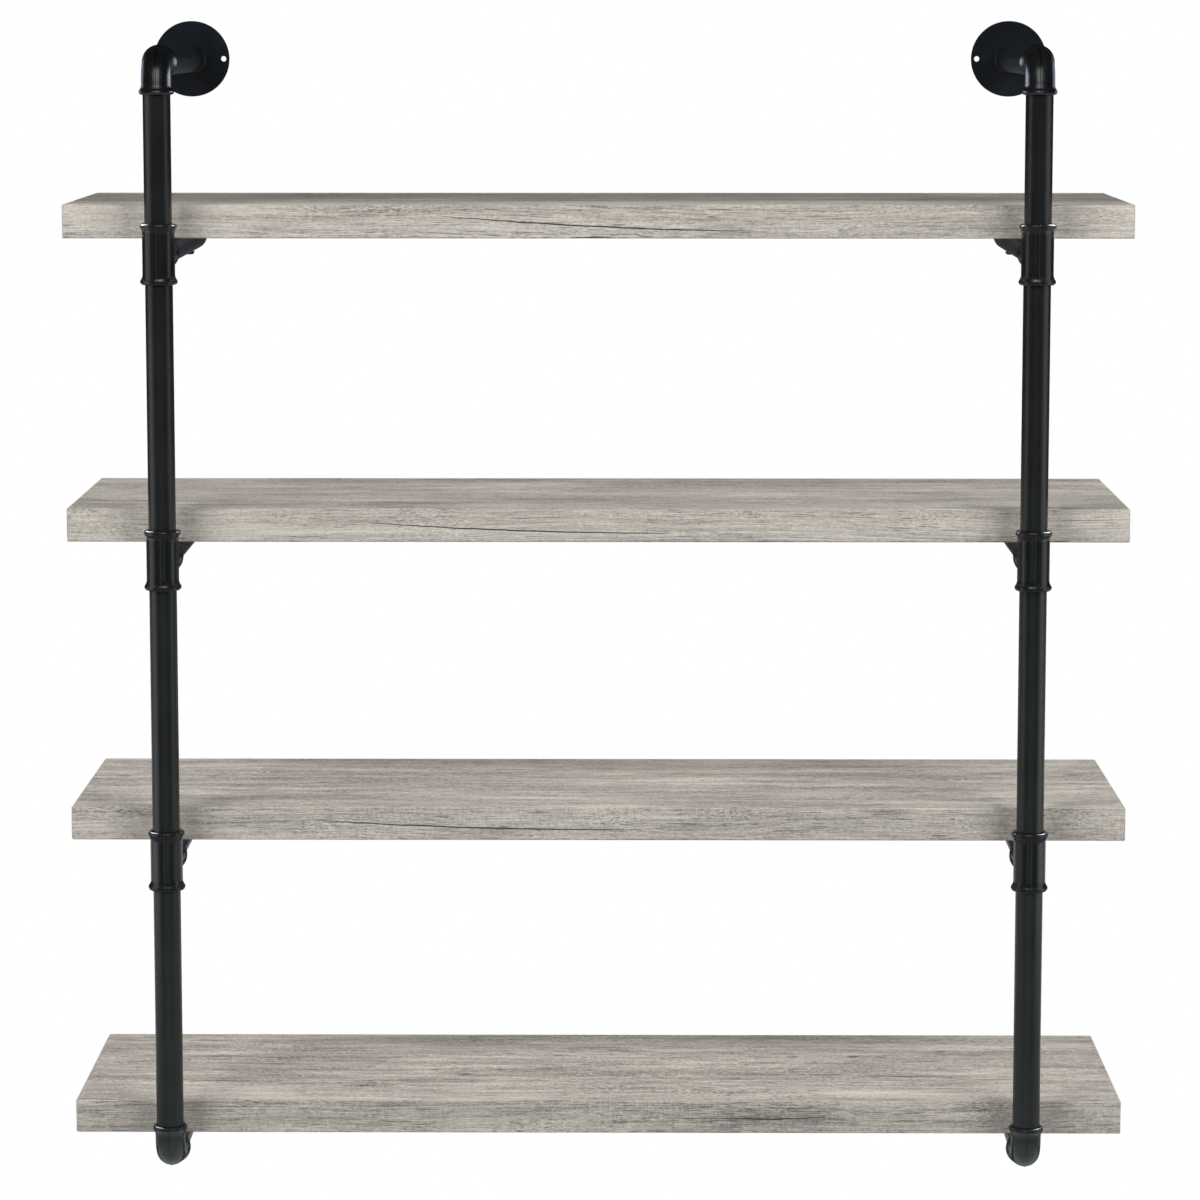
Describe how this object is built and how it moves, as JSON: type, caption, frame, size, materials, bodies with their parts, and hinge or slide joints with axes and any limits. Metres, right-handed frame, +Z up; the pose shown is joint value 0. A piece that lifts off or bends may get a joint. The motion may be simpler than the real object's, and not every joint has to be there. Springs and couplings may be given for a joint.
{
  "type": "wall bookshelf",
  "caption": "Open wall bookshelf: flat wood-grain boards resting on the arms of black pipe frames with beaded tees and elbows, hung from round wall flanges.",
  "frame": {"origin": "on the wall plane, halfway between the centres of the two wall flanges", "axes": "+X right along the wall seen from the room, +Y into the wall, +Z up"},
  "size_m": [1.016, 0.33, 1.104],
  "materials": {
    "driftwood": "matt grey driftwood-grain laminate on board",
    "frame_paint": "satin black powder coat on steel",
    "fitting_paint": "semi-gloss black paint on castings",
    "screw_black": "black oxide screws",
    "plug_plastic": "matt black plastic"
  },
  "bodies": {
    "root": {"wall_flange_left": "frame_paint", "top_tube_left": "frame_paint", "top_elbow_left": "fitting_paint", "upright_left_1": "frame_paint", "tee_left_1": "fitting_paint", "arm_left_1": "frame_paint", "upright_left_2": "frame_paint", "tee_left_2": "fitting_paint", "arm_left_2": "frame_paint", "upright_left_3": "frame_paint", "tee_left_3": "fitting_paint", "arm_left_3": "frame_paint", "upright_left_4": "frame_paint", "bottom_elbow_left": "fitting_paint", "arm_left_4": "frame_paint", "wall_flange_right": "frame_paint", "top_tube_right": "frame_paint", "top_elbow_right": "fitting_paint", "upright_right_1": "frame_paint", "tee_right_1": "fitting_paint", "arm_right_1": "frame_paint", "upright_right_2": "frame_paint", "tee_right_2": "fitting_paint", "arm_right_2": "frame_paint", "upright_right_3": "frame_paint", "tee_right_3": "fitting_paint", "arm_right_3": "frame_paint", "upright_right_4": "frame_paint", "bottom_elbow_right": "fitting_paint", "arm_right_4": "frame_paint", "shelf_board_1": "driftwood", "board_screws_1": "screw_black", "shelf_board_2": "driftwood", "board_screws_2": "screw_black", "shelf_board_3": "driftwood", "board_screws_3": "screw_black", "shelf_board_4": "driftwood", "board_screws_4": "screw_black", "arm_plugs": "plug_plastic"}
  },
  "joints": []
}
